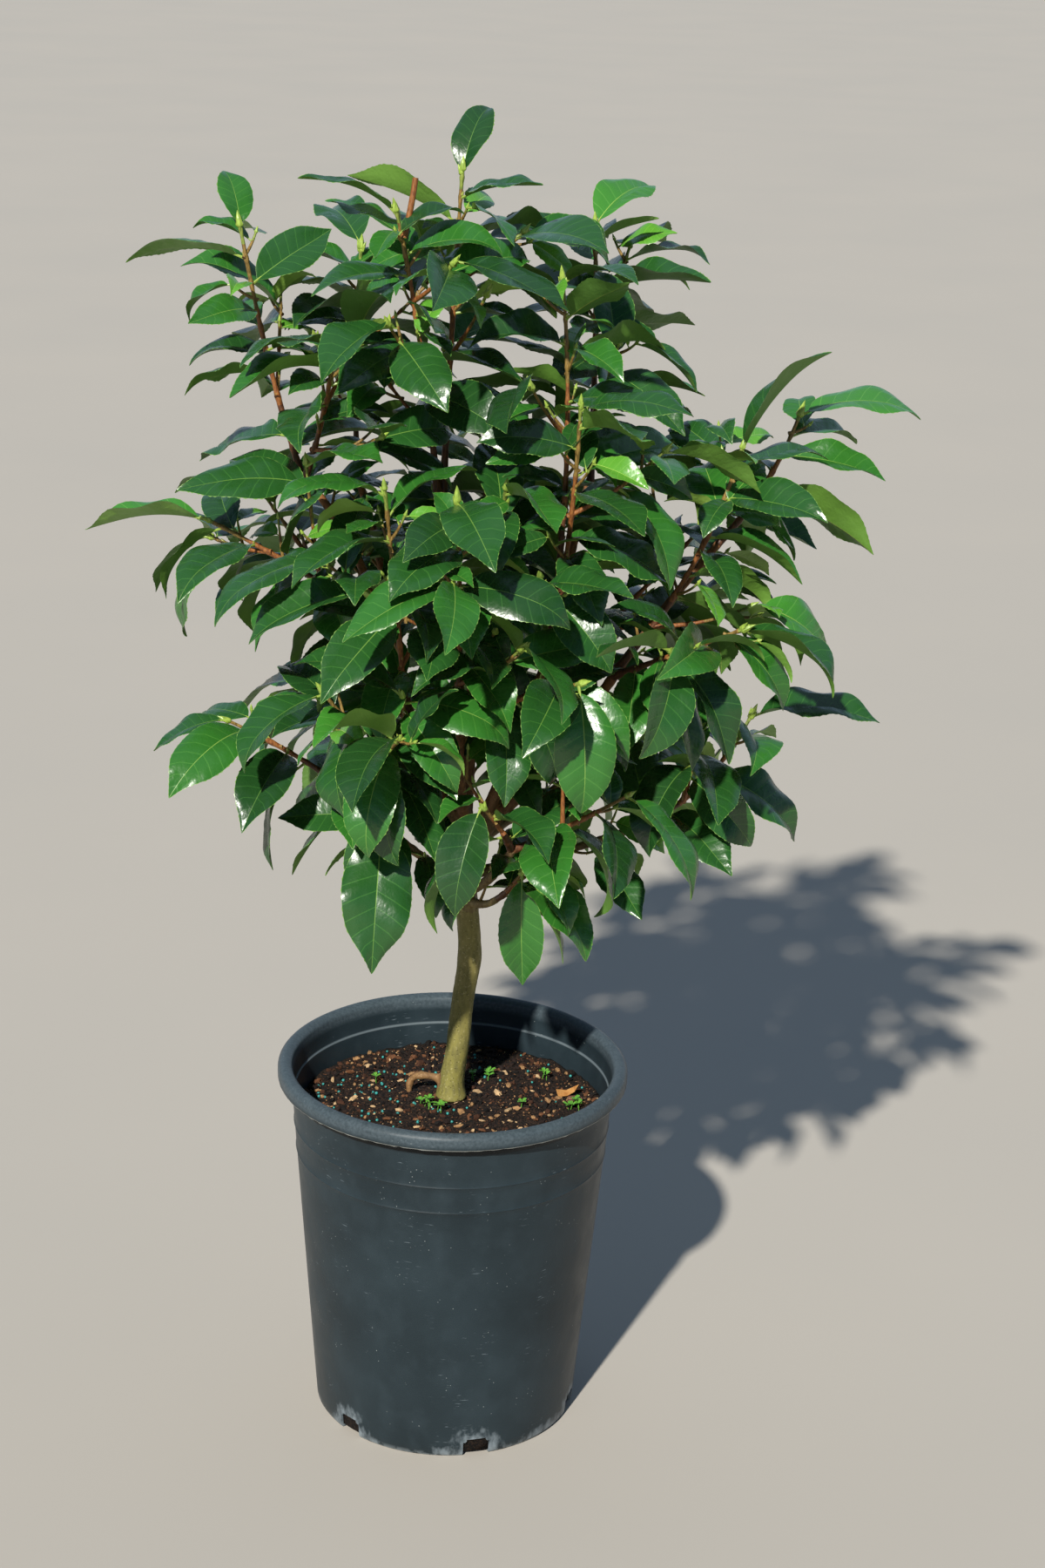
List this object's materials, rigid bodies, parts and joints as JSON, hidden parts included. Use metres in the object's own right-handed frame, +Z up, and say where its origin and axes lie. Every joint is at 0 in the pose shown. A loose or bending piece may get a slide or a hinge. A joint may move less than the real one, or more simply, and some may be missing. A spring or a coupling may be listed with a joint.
{
  "type": "potted shrub",
  "caption": "Young evergreen shrub in a round nursery pot: short forked trunk, boughs, and masses of large glossy leaves on drooping twigs.",
  "frame": {"origin": "centre of the pot's flat underside, on the floor", "axes": "+Z up; -Y is the front of the shrub; +X is to the right of it"},
  "size_m": [0.6662, 0.5263, 1.1167],
  "materials": {
    "pot_plastic": "satin, worn",
    "potting_mix": "rough, moist",
    "trunk_bark": "smooth bark",
    "bough_bark": "smooth bark",
    "foliage": "glossy above, dull below"
  },
  "bodies": {
    "root": {"pot": "pot_plastic", "soil": "potting_mix", "trunk": "trunk_bark", "surface_root": "bough_bark", "bough_back": "bough_bark", "bough_back_left": "bough_bark", "bough_back_left_upper": "bough_bark", "bough_back_low_left": "bough_bark", "bough_back_low_right": "bough_bark", "bough_back_right": "bough_bark", "bough_back_right_upper": "bough_bark", "bough_centre": "bough_bark", "bough_centre_front": "bough_bark", "bough_centre_upper": "bough_bark", "bough_foot": "bough_bark", "bough_front_left": "bough_bark", "bough_front_low": "bough_bark", "bough_left": "bough_bark", "bough_left_low": "bough_bark", "bough_left_upper": "bough_bark", "bough_right": "bough_bark", "bough_right_centre": "bough_bark", "bough_right_low": "bough_bark", "bough_right_outer": "bough_bark", "mass_back": "foliage", "mass_back_left": "foliage", "mass_back_left_top": "foliage", "mass_back_low": "foliage", "mass_back_low_left": "foliage", "mass_back_low_right": "foliage", "mass_back_right": "foliage", "mass_back_right_top": "foliage", "mass_centre": "foliage", "mass_foot": "foliage", "mass_front": "foliage", "mass_front_foot": "foliage", "mass_front_left": "foliage", "mass_front_left_low": "foliage", "mass_front_low": "foliage", "mass_front_low_right": "foliage", "mass_left_inner": "foliage", "mass_left_low": "foliage", "mass_left_low_front": "foliage", "mass_left_middle": "foliage", "mass_left_top": "foliage", "mass_right_centre": "foliage", "mass_right_low": "foliage", "mass_right_middle": "foliage", "mass_right_outer": "foliage", "mass_right_upper": "foliage", "mass_top": "foliage", "mass_top_left": "foliage", "mass_top_right": "foliage"}
  },
  "joints": []
}
